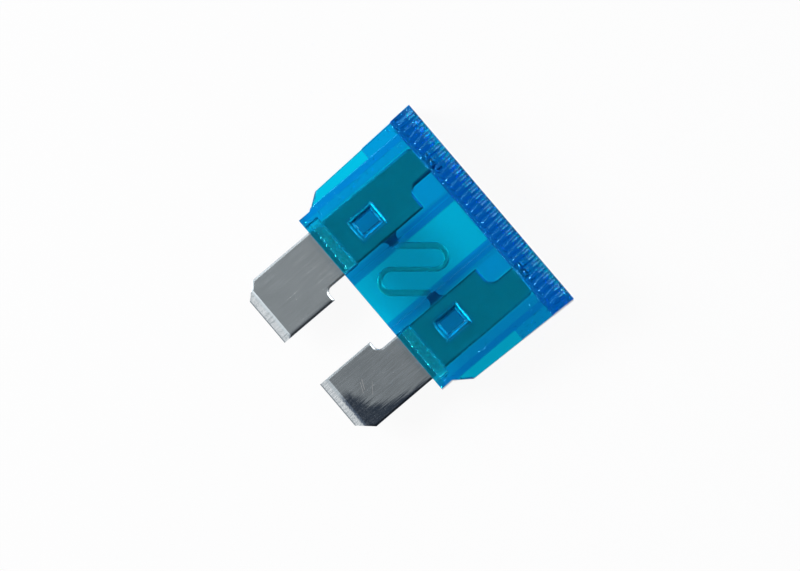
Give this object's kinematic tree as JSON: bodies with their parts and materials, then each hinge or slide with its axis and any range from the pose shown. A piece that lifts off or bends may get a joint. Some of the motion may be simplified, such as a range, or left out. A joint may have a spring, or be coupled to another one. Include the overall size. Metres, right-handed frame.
{
  "type": "automotive blade fuse",
  "caption": "Regular-size blade fuse: clear blue moulded housing with a ridged grip bar, staked over a stamped zinc element with an S-shaped link and bevelled blades.",
  "frame": {"origin": "centre of the bounding box's bottom face: the fuse lies on its back face, and the origin is on the surface that it lies on", "axes": "+X runs across the two blades, +Y from the blade tips to the grip bar, +Z out of the front face"},
  "size_m": [0.0192, 0.0188, 0.005],
  "materials": {
    "clear_blue_plastic": "clear tinted blue, polished in the mould, with a rough pressed land along the lower edge of each side",
    "zinc_strip": "bare satin zinc with fine rolling lines along the blades and bright sheared edges"
  },
  "bodies": {
    "root": {"housing": "clear_blue_plastic", "fuse_element": "zinc_strip"}
  },
  "joints": []
}
